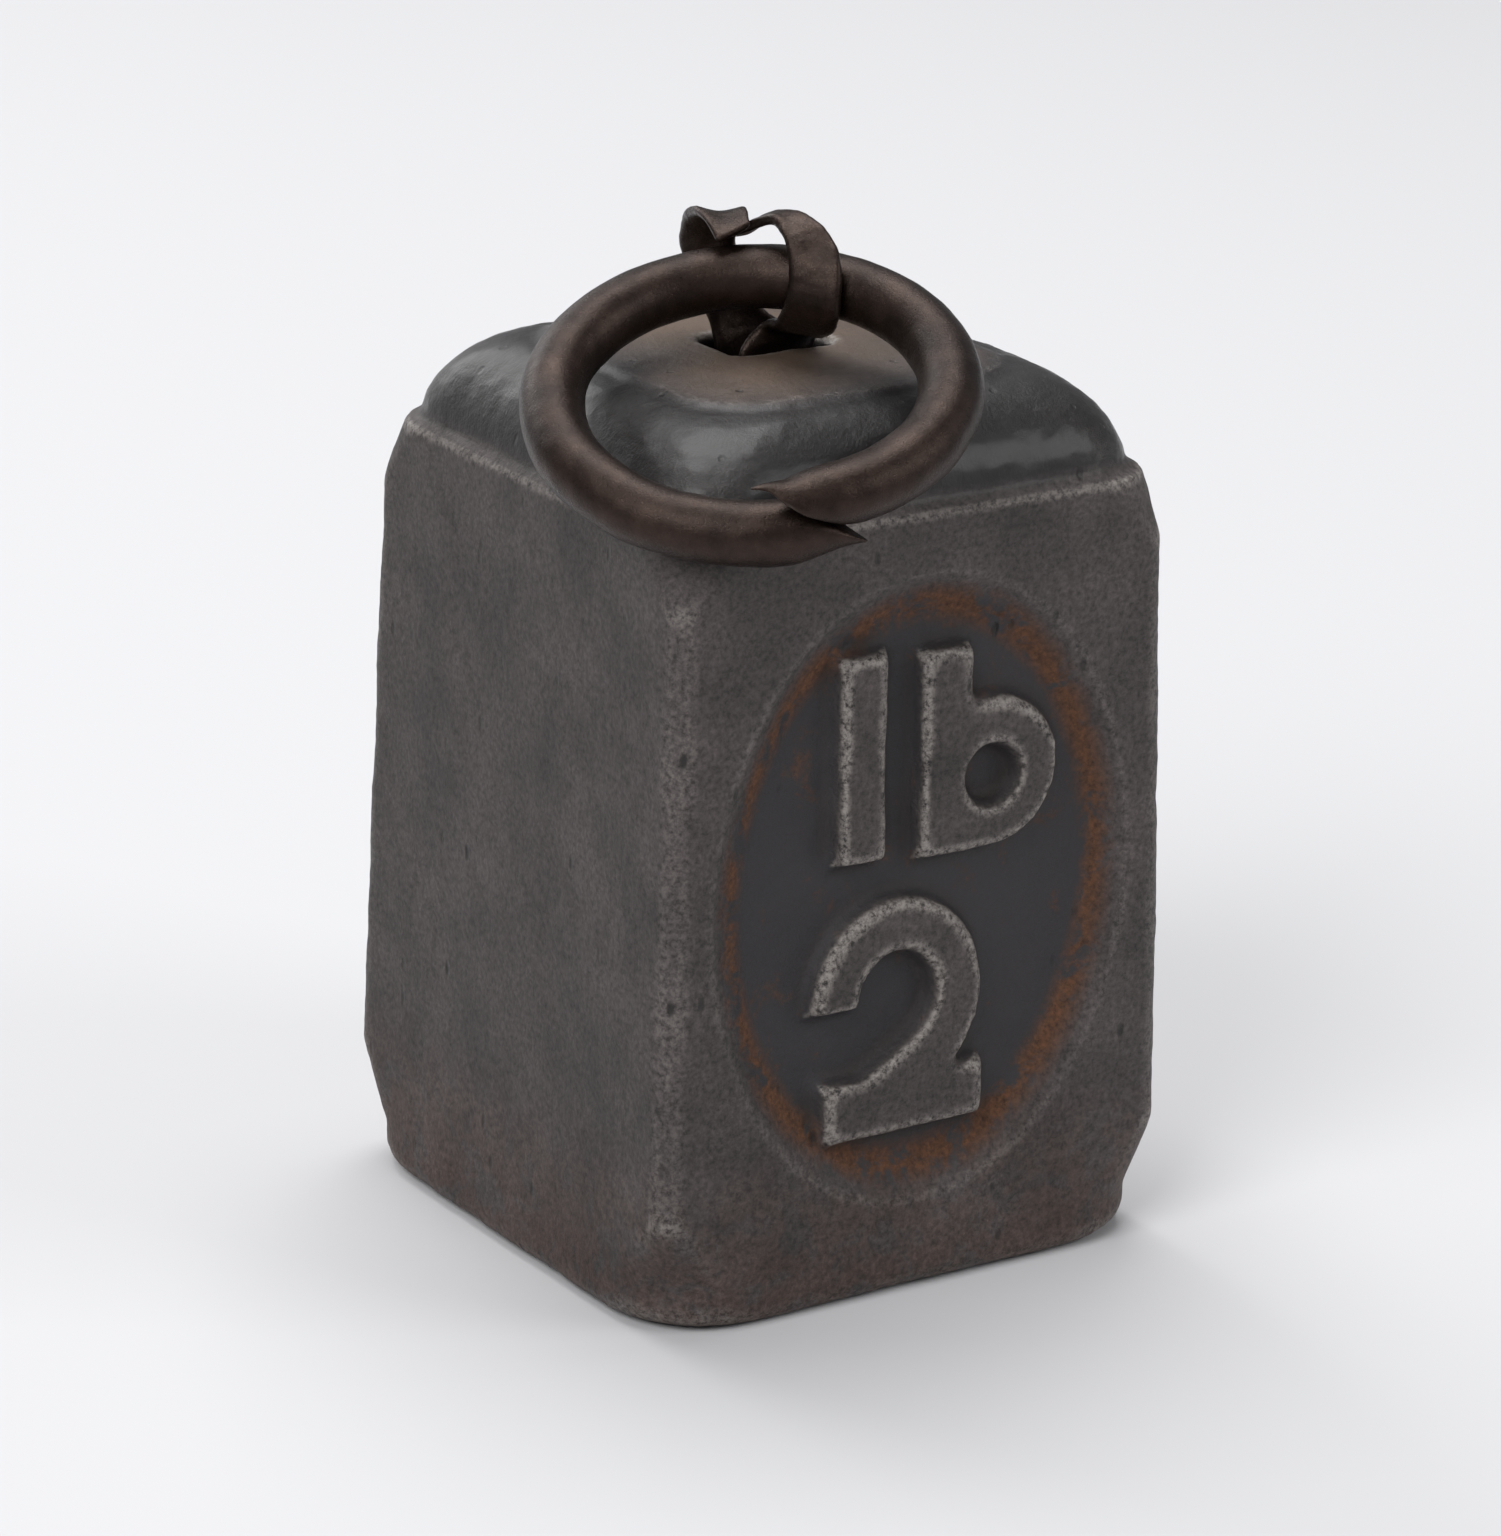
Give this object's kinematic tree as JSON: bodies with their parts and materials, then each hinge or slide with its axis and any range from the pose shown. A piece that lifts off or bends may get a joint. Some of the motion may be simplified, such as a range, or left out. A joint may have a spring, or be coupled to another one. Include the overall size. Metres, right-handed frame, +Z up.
{
  "type": "scale weight",
  "caption": "Square cast iron scale weight with a moulded top, an oval recess with raised marks and a loose lifting ring in a strap.",
  "frame": {"origin": "middle of the flat foot, on the surface it stands on", "axes": "+Z up, the face with the raised marks looks along -Y"},
  "size_m": [0.0492, 0.0524, 0.0786],
  "materials": {
    "cast_iron": "blackened casting, worn to grey",
    "wrought_iron": "forged, browned and rubbed bright by handling",
    "lead": "poured lead, dull"
  },
  "bodies": {
    "weight": {"weight_body": "cast_iron", "ring_strap": "wrought_iron", "strap_lead": "lead", "adjusting_lead": "lead"},
    "ring": {"lifting_ring": "wrought_iron"}
  },
  "joints": [
    {"name": "ring_swing", "type": "hinge", "parent": "weight", "child": "ring", "pos_m": [-0.00246, -0.00303, 0.0735], "axis": [-0.7902, 0.6129, 0], "range_deg": [0, 210]}
  ]
}
